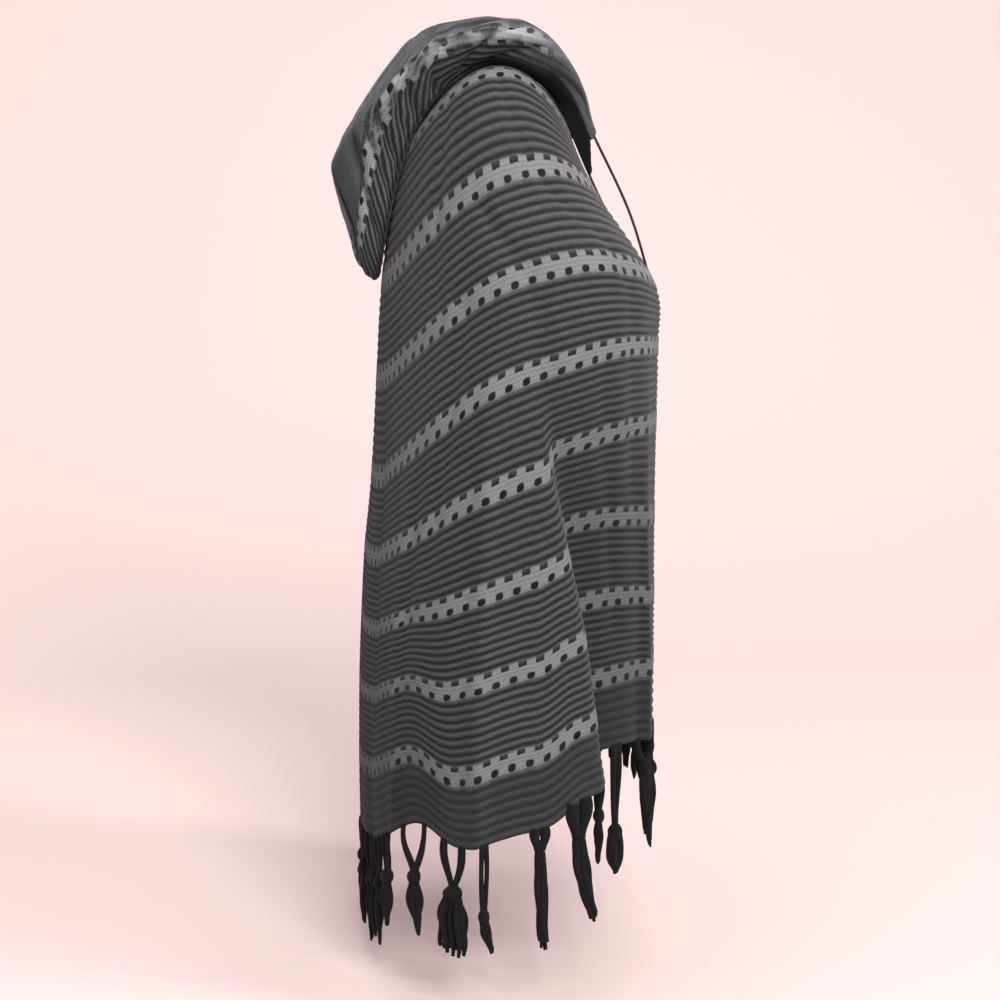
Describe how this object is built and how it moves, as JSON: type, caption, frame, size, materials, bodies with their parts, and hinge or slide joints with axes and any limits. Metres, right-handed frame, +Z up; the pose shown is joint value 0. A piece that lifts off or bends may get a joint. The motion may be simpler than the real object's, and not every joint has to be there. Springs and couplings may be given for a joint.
{
  "type": "hooded fringed knit poncho on a body-shaped hollow",
  "caption": "Knitted hooded poncho with horizontal dotted stripes, a V neck with a thin lace, a hood lying down and a knotted fringe round the hem.",
  "frame": {"origin": "middle of the neck between the shoulders, where the wearer carries the garment", "axes": "+Z up, -Y the way the wearer faces, +X the wearer's left"},
  "size_m": [0.5671, 0.3573, 1.0355],
  "materials": {
    "knit": "ribbed wool knit with pale dotted bands",
    "hood_knit": "ribbed wool knit",
    "yarn": "soft twisted yarn",
    "lace": "thin waxed cord"
  },
  "bodies": {
    "root": {"right_half": "knit", "left_half": "knit", "right_hood": "hood_knit", "left_hood": "hood_knit", "right_fringe": "yarn", "left_fringe": "yarn", "right_neck_lace": "lace", "left_neck_lace": "lace"}
  },
  "joints": []
}
